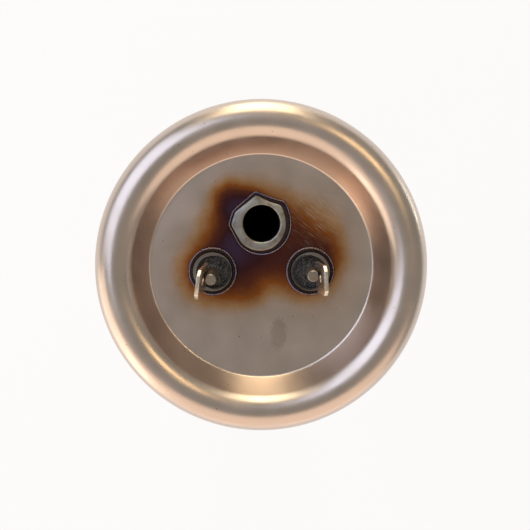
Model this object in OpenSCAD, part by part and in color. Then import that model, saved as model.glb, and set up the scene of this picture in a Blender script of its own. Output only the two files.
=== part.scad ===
// Flanged immersion heater element for a water heater.
// Z = 0 is the dry face of the dished plate. The terminals point up, out of the tank,
// and the heating tube and the sensor pocket reach down into the water.

/* [Flange] */
// Outer diameter of the pressed flange
flange_d = 72; // [68:0.5:78]
// Thickness of the sheet that the flange is pressed from
plate_t = 1.5; // [1:0.1:1.8]
// Depth of the dished plate below the crest of the rim
dish_depth = 6.5; // [5.5:0.1:8]
// Outside radius of the rolled rim
rim_r = 4.6; // [4:0.1:5]
// Slope of the dish wall, from the flat
wall_angle = 56; // [50:1:64]
// Radius of the crease between the plate and the dish wall
crease_r = 0.7; // [0.4:0.1:1.2]
// How far the rim's skirt reaches below the plate's dry face
skirt_drop = 1.6; // [1:0.1:4]

/* [Heating tube] */
// Outside diameter of the heating tube
sheath_d = 8.5; // [7.8:0.1:9]
// Wall of the heating tube
sheath_wall = 0.75; // [0.5:0.05:0.9]
// Distance between the two legs of the heating tube
leg_gap = 21.4; // [20:0.1:24]
// Place of both legs, from the flange's centre
leg_y = -1.1; // [-2.5:0.1:-0.5]
// How far the heating tube reaches below the plate
wet_length = 330; // [200:5:400]
// Height of the tube's two mouths above the plate
mouth_h = 1.5; // [1.1:0.1:2.2]

/* [Resistance coil] */
// Diameter of the resistance wire
wire_d = 0.45; // [0.3:0.05:0.5]
// Mean diameter of the coil's turns
coil_d = 3.2; // [3.2:0.1:3.8]
// Pitch of the coil, drawn coarser than the wound wire
coil_pitch = 6; // [4:0.5:8]
// Length of each unheated end below the plate
cold_length = 55; // [30:1:90]
// Length of coil that sits on the end of each pin
pin_grip = 6; // [4:0.5:10]

/* [Terminals] */
// Diameter of the terminal pins
pin_d = 2.4; // [2:0.1:2.4]
// Height of the pins above the plate
pin_h = 9.4; // [8:0.1:11]
// Depth of the flat on the pin that the tab is welded to
pin_flat = 0.2; // [0.1:0.05:0.4]
// Width of the quick-connect tab
tab_w = 6.3; // [4.8:0.1:6.5]
// Thickness of the tab
tab_t = 0.8; // [0.5:0.05:1]
// Height of the tab's lower edge above the plate
tab_foot_h = 2.4; // [2.3:0.1:3]
// Length of the tab's foot, which lies flat on the pin
tab_foot = 1.8; // [1.5:0.1:2.5]
// Height of the tab's tip above the plate
tab_tip_h = 12.6; // [11:0.1:16]
// Bevel at both corners of the tab's tip
tab_bevel = 1.1; // [0.6:0.1:1.4]
// Diameter of the latch hole in the tab
latch_d = 1.7; // [1.2:0.1:2]
// Distance of the latch hole from the tab's tip
latch_drop = 4; // [3:0.1:5]
// Outward lean of the tabs above the foot
tab_lean = 7; // [0:0.5:10]
// Outward turn of the edge away from the pocket, on the left tab and on the right tab
tab_turns = [8, 2.5]; // [0:0.5:12]
// Place across the pin of the left tab and of the right tab
tab_shifts = [-0.9, -0.8]; // [-1.2:0.1:0.6]
// Lean of the left pin and of the right pin, away from the pocket
pin_leans = [7.5, 2]; // [0:0.5:10]
// Length of the seal in each mouth of the tube
seal_len = 9; // [6:0.5:14]
// How far the seal lies below the mouth
seal_recess = 0.35; // [0.2:0.05:0.8]

/* [Sensor pocket] */
// Place of the sensor pocket, from the flange's centre
pocket_y = 9.4; // [9:0.1:10.5]
// Bore of the sensor pocket
pocket_bore = 8; // [7:0.1:8.4]
// Wall of the sensor pocket
pocket_wall = 1; // [0.7:0.05:1.2]
// Outer diameter of the pocket's lip on the plate
lip_d = 11.9; // [11.6:0.1:12.4]
// Thickness of the lip
lip_t = 1; // [0.8:0.1:1.5]
// Length of the sensor pocket below the plate
pocket_length = 280; // [150:5:380]

/* [Welds] */
// Gap between the plate's holes and the tubes in them
hole_gap = 0.05; // [0.03:0.01:0.1]
// Width of the weld bead round each tube
bead_w = 1; // [0.7:0.05:1.1]
// Height of the beads above the plate
bead_h = 0.7; // [0.4:0.05:0.9]
// Flats on the bead round the pocket: direction, and distance from the lip's edge
bead_flats = [[72, 0.1], [130, 0.65], [164, 0.75], [207, 0.45]];

/* [Hidden] */
$fn = 96;

SIDES = [-1, 1];
leg_x = leg_gap / 2;
sheath_r = sheath_d / 2;
sheath_bore_r = sheath_r - sheath_wall;
pin_r = pin_d / 2;
pocket_r = pocket_bore / 2 + pocket_wall;

// Rim section: the crown's centre, and the centre of the crease at the foot of the wall
crown_x = flange_d / 2 - rim_r;
crown_z = dish_depth - rim_r;
wall_rise = crown_z + rim_r * cos(wall_angle) - crease_r * (1 - cos(wall_angle));
crease_x = crown_x - (rim_r + crease_r) * sin(wall_angle) - wall_rise / tan(wall_angle);

CREASE_STEPS = 6;
CROWN_STEPS = 30;

// Heating tube: where the legs end and the bend begins
bend_z = -(wet_length - leg_x - sheath_r);
seal_top = mouth_h - seal_recess;
seal_end = seal_top - seal_len;

// Coil: its path runs down one leg, round the bend and up the other
pin_end = -cold_length;
coil_top = pin_end + pin_grip;
leg_run = coil_top - bend_z;
bend_run = PI * leg_x;
coil_run = 2 * leg_run + bend_run;
COIL_STEPS = 8;
WIRE_SIDES = 4;
coil_rings = ceil(coil_run / coil_pitch * COIL_STEPS);
// Free space round the wire, which leaves the powder clear of the coil
wire_room = 0.08;
coil_room_r = coil_d / 2 + wire_d / 2 + wire_room;

// Points of an arc about a centre, between two directions
function arc(centre, r, from, to, steps) =
    [for (i = [0:steps]) let (a = from + (to - from) * i / steps) centre + r * [cos(a), sin(a)]];

// One face of the sheet, from the crease to the crown's outermost point, inset from the dry face
function sheet_face(inset) = concat(
    arc([crease_x, crease_r], crease_r + inset, -90, wall_angle - 90, CREASE_STEPS),
    arc([crown_x, crown_z], rim_r - inset, 90 + wall_angle, 0, CROWN_STEPS)
);

function reversed(list) = [for (i = [len(list) - 1:-1:0]) list[i]];

// Half section of the pressed sheet: plate, crease, wall, rolled crown and skirt
module flange_section() {
    outer_x = crown_x + rim_r;
    polygon(concat(
        [[0, -plate_t], [0, 0]],
        sheet_face(0),
        [[outer_x, -skirt_drop], [outer_x - plate_t, -skirt_drop]],
        reversed(sheet_face(plate_t))
    ));
}

module flange_plate() {
    color("#b3aca4")
    difference() {
        rotate_extrude() flange_section();
        for (side = SIDES)
            translate([side * leg_x, leg_y, -plate_t - 1])
                cylinder(r = sheath_r + hole_gap, h = plate_t + 2);
        translate([0, pocket_y, -plate_t - 1])
            cylinder(r = pocket_r + hole_gap, h = plate_t + 2);
    }
}

// Solid rod along the hairpin, whose legs end at the given heights
module hairpin(r, left_top, right_top) {
    tops = [left_top, right_top];
    for (i = [0, 1])
        translate([SIDES[i] * leg_x, leg_y, bend_z]) cylinder(r = r, h = tops[i] - bend_z);
    translate([0, leg_y, bend_z])
        rotate([-90, 0, 0])
            rotate_extrude(angle = 180) translate([leg_x, 0]) circle(r);
}

module heater_sheath() {
    color("#8e8c88")
    difference() {
        hairpin(sheath_r, mouth_h, mouth_h);
        hairpin(sheath_bore_r, mouth_h + 1, mouth_h + 1);
    }
}

// Packed powder: a sleeve outside the coil and a core inside it
module magnesia_fill() {
    color("#e8e4da") {
        difference() {
            hairpin(sheath_bore_r, seal_end, seal_end);
            hairpin(coil_room_r, coil_top, coil_top);
            for (side = SIDES)
                translate([side * leg_x, leg_y, pin_end]) cylinder(r = pin_r, h = cold_length);
        }
        hairpin(pin_r, pin_end, pin_end);
    }
}

// Point and direction on the coil's path at distance s from its start
function path_point(s) =
    s < leg_run ? [-leg_x, coil_top - s]
    : s > leg_run + bend_run ? [leg_x, bend_z + s - leg_run - bend_run]
    : let (a = 180 + 180 * (s - leg_run) / bend_run) [leg_x * cos(a), bend_z + leg_x * sin(a)];
function path_heading(s) =
    s < leg_run ? -90
    : s > leg_run + bend_run ? 90
    : -90 + 180 * (s - leg_run) / bend_run;

// One ring of the wire's section, at distance s along the path
function wire_ring(s) =
    let (
        p = path_point(s),
        heading = path_heading(s),
        along = [cos(heading), 0, sin(heading)],
        inward = [-sin(heading), 0, cos(heading)],
        turn = 360 * s / coil_pitch,
        out = cos(turn) * inward + [0, sin(turn), 0],
        centre = [p[0], leg_y, p[1]] + coil_d / 2 * out
    )
    [for (k = [0:WIRE_SIDES - 1])
        let (b = 360 * k / WIRE_SIDES)
        centre + wire_d / 2 * (cos(b) * out + sin(b) * along)];

module heating_coil() {
    last = coil_rings * WIRE_SIDES;
    points = [for (i = [0:coil_rings]) each wire_ring(i * coil_run / coil_rings)];
    sides = [for (i = [0:coil_rings - 1], k = [0:WIRE_SIDES - 1])
        let (
            a = i * WIRE_SIDES + k,
            b = i * WIRE_SIDES + (k + 1) % WIRE_SIDES
        )
        each [
            [a, a + WIRE_SIDES, b + WIRE_SIDES],
            [a, b + WIRE_SIDES, b]
        ]];
    start_cap = [for (k = [0:WIRE_SIDES - 1]) k];
    end_cap = [for (k = [WIRE_SIDES - 1:-1:0]) last + k];
    color("#6f6a66") polyhedron(points = points, faces = concat(sides, [start_cap, end_cap]));
}

// Places its children, drawn upright for the right pin, on the left or right pin as it leans
module on_pin(i) {
    translate([SIDES[i] * leg_x, leg_y, mouth_h])
        rotate([pin_leans[i], 0, 0])
            translate([0, 0, -mouth_h])
                rotate([0, 0, SIDES[i] * tab_turns[i]])
                    mirror([1 - i, 0, 0])
                        children();
}

// Everything above or below the mitre where a pin starts to lean
module mitre_side(i, above) {
    size = 2 * cold_length;
    translate([SIDES[i] * leg_x, leg_y, mouth_h])
        rotate([pin_leans[i] / 2, 0, 0])
            translate([-size / 2, -size / 2, above ? 0 : -size])
                cube(size);
}

// Straight up to the tube's mouth, leaning from there, and flat where the tab lies on it
module terminal_pin(i) {
    chamfer = 0.2;
    color("#9a948a")
    union() {
        intersection() {
            translate([SIDES[i] * leg_x, leg_y, pin_end])
                cylinder(r = pin_r, h = mouth_h - pin_end + pin_r);
            mitre_side(i, false);
        }
        intersection() {
            on_pin(i)
            difference() {
                union() {
                    cylinder(r = pin_r, h = pin_h - chamfer);
                    translate([0, 0, pin_h - chamfer])
                        cylinder(r1 = pin_r, r2 = pin_r - chamfer, h = chamfer);
                }
                translate([pin_r - pin_flat, -pin_d, tab_foot_h])
                    cube([pin_d, 2 * pin_d, pin_h]);
            }
            mitre_side(i, true);
        }
    }
}

// Plug with a hollow top, moulded round the pin
module end_seal(i) {
    dish_r = (sheath_bore_r - pin_r) / 2;
    sag = 0.45;
    color("#1d1b1a")
    translate([SIDES[i] * leg_x, leg_y, 0])
    difference() {
        translate([0, 0, seal_end]) cylinder(r = sheath_bore_r, h = seal_len);
        translate([0, 0, seal_end - 1]) cylinder(r = pin_r, h = seal_len + 2);
        translate([0, 0, seal_top + dish_r - sag])
            rotate_extrude() translate([pin_r + dish_r, 0]) circle(dish_r);
    }
}

// Side view of the tab: an upright foot, then a blade that leans outwards
module tab_side() {
    bend = tab_foot_h + tab_foot;
    reach = (tab_tip_h - bend) * tan(tab_lean);
    polygon([
        [0, tab_foot_h],
        [tab_t, tab_foot_h],
        [tab_t, bend],
        [tab_t + reach, tab_tip_h],
        [reach, tab_tip_h],
        [0, bend]
    ]);
}

// Front view of the tab, with bevelled corners at the tip
module tab_front() {
    half = tab_w / 2;
    polygon([
        [-half, tab_foot_h],
        [half, tab_foot_h],
        [half, tab_tip_h - tab_bevel],
        [half - tab_bevel, tab_tip_h],
        [tab_bevel - half, tab_tip_h],
        [-half, tab_tip_h - tab_bevel]
    ]);
}

module tab(i) {
    bend = tab_foot_h + tab_foot;
    latch_z = tab_tip_h - latch_drop;
    color("#d8cfb8")
    on_pin(i)
    translate([pin_r - pin_flat, tab_shifts[i], 0])
    difference() {
        intersection() {
            translate([0, tab_w, 0])
                rotate([90, 0, 0]) linear_extrude(2 * tab_w) tab_side();
            translate([-tab_w, 0, 0])
                rotate([90, 0, 90]) linear_extrude(3 * tab_w) tab_front();
        }
        translate([tab_t / 2 + (latch_z - bend) * tan(tab_lean), 0, latch_z])
            rotate([0, 90 + tab_lean, 0])
                cylinder(d = latch_d, h = 3 * tab_t, center = true);
    }
}

// Lipped tube with a bore that is closed by a round end
module sensor_pocket() {
    end_z = -pocket_length + pocket_r;
    edge = 0.25;
    color("#97938d")
    translate([0, pocket_y, 0])
    difference() {
        union() {
            translate([0, 0, end_z]) cylinder(r = pocket_r, h = lip_t - end_z);
            translate([0, 0, end_z]) sphere(pocket_r);
            cylinder(d = lip_d, h = lip_t - edge);
            translate([0, 0, lip_t - edge])
                cylinder(r1 = lip_d / 2, r2 = lip_d / 2 - edge, h = edge);
        }
        translate([0, 0, end_z]) cylinder(d = pocket_bore, h = lip_t - end_z + 1);
        translate([0, 0, end_z]) sphere(d = pocket_bore);
        translate([0, 0, lip_t - edge])
            cylinder(d1 = pocket_bore, d2 = pocket_bore + 4 * edge, h = 2 * edge);
    }
}

// Rounded bead that stands on the plate round a tube
module bead_ring(inner_r) {
    round_r = 0.55 * bead_w;
    rotate_extrude()
    translate([inner_r, 0])
    intersection() {
        square([bead_w, bead_h]);
        translate([bead_w - round_r, bead_h - round_r]) circle(round_r);
    }
}

module weld_bead(i) {
    color("#6e625c")
    translate([SIDES[i] * leg_x, leg_y, 0]) bead_ring(sheath_r);
}

module weld_bead_pocket() {
    color("#6e625c")
    translate([0, pocket_y, 0])
    difference() {
        bead_ring(lip_d / 2);
        for (flat = bead_flats)
            rotate([0, 0, flat[0]])
                translate([lip_d / 2 + flat[1], -lip_d, -1]) cube([lip_d, 2 * lip_d, bead_h + 2]);
    }
}

flange_plate();
heater_sheath();
magnesia_fill();
heating_coil();
terminal_pin(0);  // terminal_pin_left
terminal_pin(1);  // terminal_pin_right
end_seal(0);  // end_seal_left
end_seal(1);  // end_seal_right
tab(0);  // tab_left
tab(1);  // tab_right
sensor_pocket();
weld_bead(0);  // weld_bead_left
weld_bead(1);  // weld_bead_right
weld_bead_pocket();
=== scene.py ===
"""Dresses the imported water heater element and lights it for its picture.

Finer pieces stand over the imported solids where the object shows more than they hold: the pressed
flange with its smooth rim, the weld beads, the lumpy seals, the blades and the pocket's collar.
The other solids stay as they are and get their finish here.
"""

import math

import bmesh
import bpy
from bpy.props import FloatProperty, FloatVectorProperty, IntProperty, PointerProperty
from bpy.types import Operator, Panel, PropertyGroup
from mathutils import Matrix, Vector, noise


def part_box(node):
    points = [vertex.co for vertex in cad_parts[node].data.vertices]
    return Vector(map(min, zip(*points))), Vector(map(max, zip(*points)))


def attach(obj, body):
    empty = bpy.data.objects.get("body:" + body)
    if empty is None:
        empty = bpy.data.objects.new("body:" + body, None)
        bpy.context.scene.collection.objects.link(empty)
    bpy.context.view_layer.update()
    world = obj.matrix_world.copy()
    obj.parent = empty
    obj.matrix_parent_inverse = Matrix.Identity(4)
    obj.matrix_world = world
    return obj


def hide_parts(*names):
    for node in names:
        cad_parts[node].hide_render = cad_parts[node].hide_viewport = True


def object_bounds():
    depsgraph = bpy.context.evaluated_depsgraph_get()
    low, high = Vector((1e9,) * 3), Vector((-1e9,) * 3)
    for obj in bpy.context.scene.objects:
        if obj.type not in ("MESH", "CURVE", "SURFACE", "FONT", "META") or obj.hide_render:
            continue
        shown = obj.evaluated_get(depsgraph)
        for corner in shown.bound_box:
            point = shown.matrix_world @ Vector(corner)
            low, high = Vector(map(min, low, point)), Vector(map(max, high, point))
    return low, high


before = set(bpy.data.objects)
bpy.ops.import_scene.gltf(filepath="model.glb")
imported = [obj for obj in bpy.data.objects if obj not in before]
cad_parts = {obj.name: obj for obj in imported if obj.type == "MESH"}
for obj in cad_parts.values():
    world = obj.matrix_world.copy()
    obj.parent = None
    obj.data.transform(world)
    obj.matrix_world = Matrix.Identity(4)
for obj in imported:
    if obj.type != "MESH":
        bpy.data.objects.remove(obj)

bl_info = {
    "name": "Water heater element",
    "version": (1, 0, 0),
    "blender": (4, 5, 0),
    "location": "View3D > Sidebar > Heater",
    "description": "Dresses a flanged immersion heater element and lights it",
    "category": "Object",
}

MM = 0.001
BODY = "root"
CAD_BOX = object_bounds()
SIDES = {"left": -1, "right": 1}


def middle(node):
    """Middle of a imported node's box, in millimetres."""
    low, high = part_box(node)
    return (low + high) / 2 / MM


def top(node):
    """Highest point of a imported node, in millimetres."""
    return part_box(node)[1].z / MM


LEG = {side: middle(f"weld_bead_{side}") for side in SIDES}
POCKET = middle("sensor_pocket")


# Settings


class FlangeSizes(PropertyGroup):
    """Sizes of the pressed flange"""

    outer_radius: FloatProperty(name="Outer radius", description="Radius of the rim", default=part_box("flange_plate")[1].x, unit="LENGTH", precision=4)
    depth: FloatProperty(name="Depth", description="From the crest of the rim to the plate", default=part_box("flange_plate")[1].z, unit="LENGTH", precision=4)
    skirt: FloatProperty(name="Skirt", description="How far the rim's skirt reaches below the plate's face", default=-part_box("flange_plate")[0].z, unit="LENGTH", precision=4)
    rim_radius: FloatProperty(name="Rim radius", description="Outside radius of the rolled rim", default=4.6 * MM, unit="LENGTH", precision=4)
    crease_radius: FloatProperty(name="Crease radius", description="Radius where the wall meets the plate", default=0.7 * MM, unit="LENGTH", precision=4)
    sheet: FloatProperty(name="Sheet", description="Thickness of the sheet", default=1.5 * MM, unit="LENGTH", precision=4)
    wall_angle: FloatProperty(name="Wall angle", description="Slope of the dish wall, from the flat", default=math.radians(56), subtype="ANGLE")
    unevenness: FloatProperty(name="Unevenness", description="How far the pressed wall and rim wander from true", default=0.03 * MM, unit="LENGTH", precision=5)
    steps: IntProperty(name="Steps", description="Steps round the flange", default=288, min=48)


class WeldSizes(PropertyGroup):
    """Sizes of the weld beads"""

    tube_ring: FloatProperty(name="Ring on the tube", description="Radius of the ridge round each mouth of the heating tube", default=5.08 * MM, unit="LENGTH", precision=5)
    ridge_width: FloatProperty(name="Ridge width", description="Width of the bead's ridge", default=0.75 * MM, unit="LENGTH", precision=5)
    ridge_height: FloatProperty(name="Ridge height", description="Height of the bead's ridge above the plate", default=0.7 * MM, unit="LENGTH", precision=5)
    ripple_spacing: FloatProperty(name="Ripple spacing", description="Distance between the ripples left by the torch", default=0.55 * MM, unit="LENGTH", precision=5)
    ripple_depth: FloatProperty(name="Ripple depth", description="Depth of the ripples, as a share of the bead", default=0.04)


class TerminalSizes(PropertyGroup):
    """Sizes of the blades and the pins that carry them"""

    blade_width: FloatProperty(name="Blade width", description="Width of the quick-connect blade", default=6.3 * MM, unit="LENGTH", precision=4)
    blade_thickness: FloatProperty(name="Blade thickness", description="Thickness of the blade", default=0.8 * MM, unit="LENGTH", precision=4)
    blade_foot: FloatProperty(name="Foot height", description="Height of the blade's lower edge above the plate", default=2.4 * MM, unit="LENGTH", precision=4)
    blade_bend: FloatProperty(name="Bend height", description="Height where the blade starts to lean", default=4.2 * MM, unit="LENGTH", precision=4)
    blade_tip: FloatProperty(name="Tip height", description="Height of the blade's tip above the plate", default=12.6 * MM, unit="LENGTH", precision=4)
    corner_bevel: FloatProperty(name="Corner bevel", description="Bevel at both corners of the tip", default=1.1 * MM, unit="LENGTH", precision=4)
    edge_bevel: FloatProperty(name="Edge bevel", description="Width of the lead-in along the blade's edges", default=0.13 * MM, unit="LENGTH", precision=5)
    latch_hole: FloatProperty(name="Latch hole", description="Diameter of the latch hole", default=1.7 * MM, unit="LENGTH", precision=4)
    latch_drop: FloatProperty(name="Latch drop", description="Distance of the latch hole from the tip", default=4 * MM, unit="LENGTH", precision=4)
    blade_lean: FloatProperty(name="Blade lean", description="Outward lean of the blade above its bend", default=math.radians(7), subtype="ANGLE")
    pivot: FloatProperty(name="Pin pivot", description="Height where the pins start to lean", default=top("heater_sheath") * MM, unit="LENGTH", precision=4)
    face: FloatProperty(name="Blade face", description="Distance of the blade's inner face from the pin's axis", default=1.0 * MM, unit="LENGTH", precision=4)


class Finishes(PropertyGroup):
    """Colours of the finishes"""

    bare_steel: FloatVectorProperty(name="Bare steel", description="Colour of the untinted stainless steel", subtype="COLOR", size=3, default=(0.58, 0.55, 0.52))
    resin: FloatVectorProperty(name="Resin", description="Colour of the sealing resin", subtype="COLOR", size=3, default=(0.012, 0.011, 0.012))
    blade: FloatVectorProperty(name="Blade", description="Colour of the plated blades", subtype="COLOR", size=3, default=(0.80, 0.74, 0.64))


class StudioSettings(PropertyGroup):
    """Camera, lamps and floor"""

    focal_length: FloatProperty(name="Focal length", description="Focal length of the camera, in millimetres", default=52.6, min=1)
    camera_place: FloatVectorProperty(name="Camera place", description="Place of the camera", subtype="TRANSLATION", unit="LENGTH", size=3, default=(-0.00163, 0.01298, 0.16973))
    camera_target: FloatVectorProperty(name="Camera target", description="Point that the camera looks at", subtype="TRANSLATION", unit="LENGTH", size=3, default=(0.00078, 0.00027, 0.0))
    lamp_level: FloatProperty(name="Lamp level", description="Factor on the light of every lamp", default=1.0, min=0)
    room_level: FloatProperty(name="Room level", description="Light of the room above the floor", default=0.33, min=0)
    floor_size: FloatProperty(name="Floor size", description="Half the width of the floor", default=6.0, unit="LENGTH")


# Nodes


def rgb(text):
    """Linear colour of an sRGB hex value."""
    values = [int(text[i:i + 2], 16) / 255 for i in (1, 3, 5)]
    return (*[v / 12.92 if v <= 0.04045 else ((v + 0.055) / 1.055) ** 2.4 for v in values], 1)


def add(tree, kind, settings=None, inputs=None):
    """Adds a node, with its settings, and its inputs either linked or set."""
    node = tree.nodes.new(kind)
    for name, value in (settings or {}).items():
        setattr(node, name, value)
    for key, value in (inputs or {}).items():
        socket = node.inputs[key] if isinstance(key, int) else next(s for s in node.inputs if key in (s.identifier, s.name))
        if isinstance(value, bpy.types.NodeSocket):
            tree.links.new(value, socket)
        else:
            socket.default_value = value
    return node


def maths(tree, operation, *values):
    """Result of a Math node."""
    return add(tree, "ShaderNodeMath", {"operation": operation}, dict(enumerate(values))).outputs[0]


def vectors(tree, operation, *values):
    """First result of a Vector Math node."""
    return add(tree, "ShaderNodeVectorMath", {"operation": operation}, dict(enumerate(values))).outputs[0]


def blended(tree, share, first, second, way="MIX"):
    """Colour between two others."""
    return add(tree, "ShaderNodeMix", {"data_type": "RGBA", "blend_type": way}, {"Factor_Float": share, "A_Color": first, "B_Color": second}).outputs["Result"]


def spread(tree, value, low, high, to_low=0.0, to_high=1.0):
    """Value carried from one range to another, and held at its ends."""
    return add(tree, "ShaderNodeMapRange", {}, {"Value": value, "From Min": low, "From Max": high, "To Min": to_low, "To Max": to_high}).outputs[0]


def ramp(tree, value, stops, ease="LINEAR"):
    """Colour ramp over (place, hex colour) stops."""
    node = add(tree, "ShaderNodeValToRGB", {}, {"Fac": value})
    node.color_ramp.interpolation = ease
    while len(node.color_ramp.elements) < len(stops):
        node.color_ramp.elements.new(0.5)
    for element, (place, colour) in zip(node.color_ramp.elements, stops):
        element.position = place
    for element, (place, colour) in zip(node.color_ramp.elements, stops):
        element.color = rgb(colour)
    return node.outputs["Color"]


def grain(tree, place, size, detail=2.0, roughness=0.5):
    """Noise whose features are about size millimetres wide."""
    return add(tree, "ShaderNodeTexNoise", {}, {"Vector": place, "Scale": 1 / size, "Detail": detail, "Roughness": roughness}).outputs["Fac"]


def streaks(tree, place, turn, width, length, detail=2.0):
    """Noise drawn out into streaks, turned about Z."""
    node = add(tree, "ShaderNodeMapping", {"vector_type": "TEXTURE"}, {"Vector": place, "Rotation": (0, 0, turn), "Scale": (length, width, length)})
    return add(tree, "ShaderNodeTexNoise", {}, {"Vector": node.outputs[0], "Scale": 1.0, "Detail": detail}).outputs["Fac"]


def spot(tree, place, centre, radius):
    """1 at a centre and falling off like a bell, over a radius in millimetres."""
    away = add(tree, "ShaderNodeVectorMath", {"operation": "DISTANCE"}, {0: place, 1: centre}).outputs["Value"]
    return maths(tree, "EXPONENT", maths(tree, "MULTIPLY", maths(tree, "POWER", maths(tree, "DIVIDE", away, radius), 2.0), -1.0))


def finish(name):
    """New material with its shader, and its object's own coordinates in millimetres."""
    material = bpy.data.materials.new(name)
    material.use_nodes = True
    tree = material.node_tree
    tree.nodes.clear()
    shader = add(tree, "ShaderNodeBsdfPrincipled")
    add(tree, "ShaderNodeOutputMaterial", {}, {"Surface": shader.outputs[0]})
    own = add(tree, "ShaderNodeTexCoord").outputs["Object"]
    place = add(tree, "ShaderNodeVectorMath", {"operation": "SCALE"}, {0: own, "Scale": 1 / MM}).outputs[0]
    return material, tree, shader, place


def wire(tree, shader, **values):
    """Sets or links the shader's inputs; underscores stand for spaces."""
    for name, value in values.items():
        socket = shader.inputs[name.replace("_", " ")]
        if isinstance(value, bpy.types.NodeSocket):
            tree.links.new(value, socket)
        else:
            socket.default_value = value


def bump(tree, height, depth, under=None):
    """Normal of a relief that is depth millimetres deep."""
    inputs = {"Height": height, "Distance": depth * MM, "Strength": 1.0}
    if under is not None:
        inputs["Normal"] = under
    return add(tree, "ShaderNodeBump", {}, inputs).outputs[0]


# Finishes

# Where the torch dwelt: place on the plate in mm, reach in mm, and strength of the tint
HOT_SPOTS = [
    ((-10.7, -1.1), 8.6, 0.56),
    ((10.7, -1.1), 7.6, 0.50),
    ((0.0, 9.4), 9.4, 0.52),
    ((-6.6, 14.2), 5.2, 0.40),
    ((-6.0, 4.5), 5.5, 0.16),
    ((0.5, -1.0), 5.5, 0.16),
    ((12.5, 9.5), 7.5, 0.20),
    ((15.6, 3.6), 4.4, 0.12),
    ((-2.6, -6.2), 4.0, 0.14),
]

# Oxide colours of stainless steel, from bare metal to the hottest band
TINTS = [
    (0.00, "#D2C6BE"),
    (0.14, "#CDBBAF"),
    (0.26, "#C49A70"),
    (0.38, "#A5632F"),
    (0.50, "#6E3C2C"),
    (0.62, "#4B2C31"),
    (0.74, "#4C3C55"),
    (0.84, "#6C7C9A"),
    (0.93, "#8A98AC"),
    (1.00, "#5E4A42"),
]


def heat_tint():
    """Node group: oxide colour of the steel by its distance from the welds."""
    found = bpy.data.node_groups.get("Heat tint")
    if found:
        return found
    tree = bpy.data.node_groups.new("Heat tint", "ShaderNodeTree")
    tree.interface.new_socket("Place", in_out="INPUT", socket_type="NodeSocketVector")
    tree.interface.new_socket("Colour", in_out="OUTPUT", socket_type="NodeSocketColor")
    tree.interface.new_socket("Heat", in_out="OUTPUT", socket_type="NodeSocketFloat")
    given = add(tree, "NodeGroupInput").outputs["Place"]
    wander = add(tree, "ShaderNodeTexNoise", {}, {"Vector": given, "Scale": 0.16, "Detail": 3.0}).outputs["Color"]
    drift = add(tree, "ShaderNodeVectorMath", {"operation": "SCALE"}, {0: vectors(tree, "SUBTRACT", wander, (0.5, 0.5, 0.5)), "Scale": 3.0}).outputs[0]
    flat = vectors(tree, "MULTIPLY", vectors(tree, "ADD", given, drift), (1, 1, 0))
    heat = 0.0
    for (x, y), reach, strength in HOT_SPOTS:
        heat = maths(tree, "MULTIPLY_ADD", spot(tree, flat, (x, y, 0), reach), strength, heat)
    heat = maths(tree, "MULTIPLY_ADD", maths(tree, "SUBTRACT", grain(tree, given, 0.9), 0.5), 0.05, heat)
    add(tree, "NodeGroupOutput", {}, {"Colour": ramp(tree, heat, TINTS), "Heat": heat})
    return tree


def tint_of(tree, place):
    """Colour and heat of the oxide at a place."""
    node = add(tree, "ShaderNodeGroup", {"node_tree": heat_tint()}, {"Place": place})
    return node.outputs["Colour"], node.outputs["Heat"]


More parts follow.
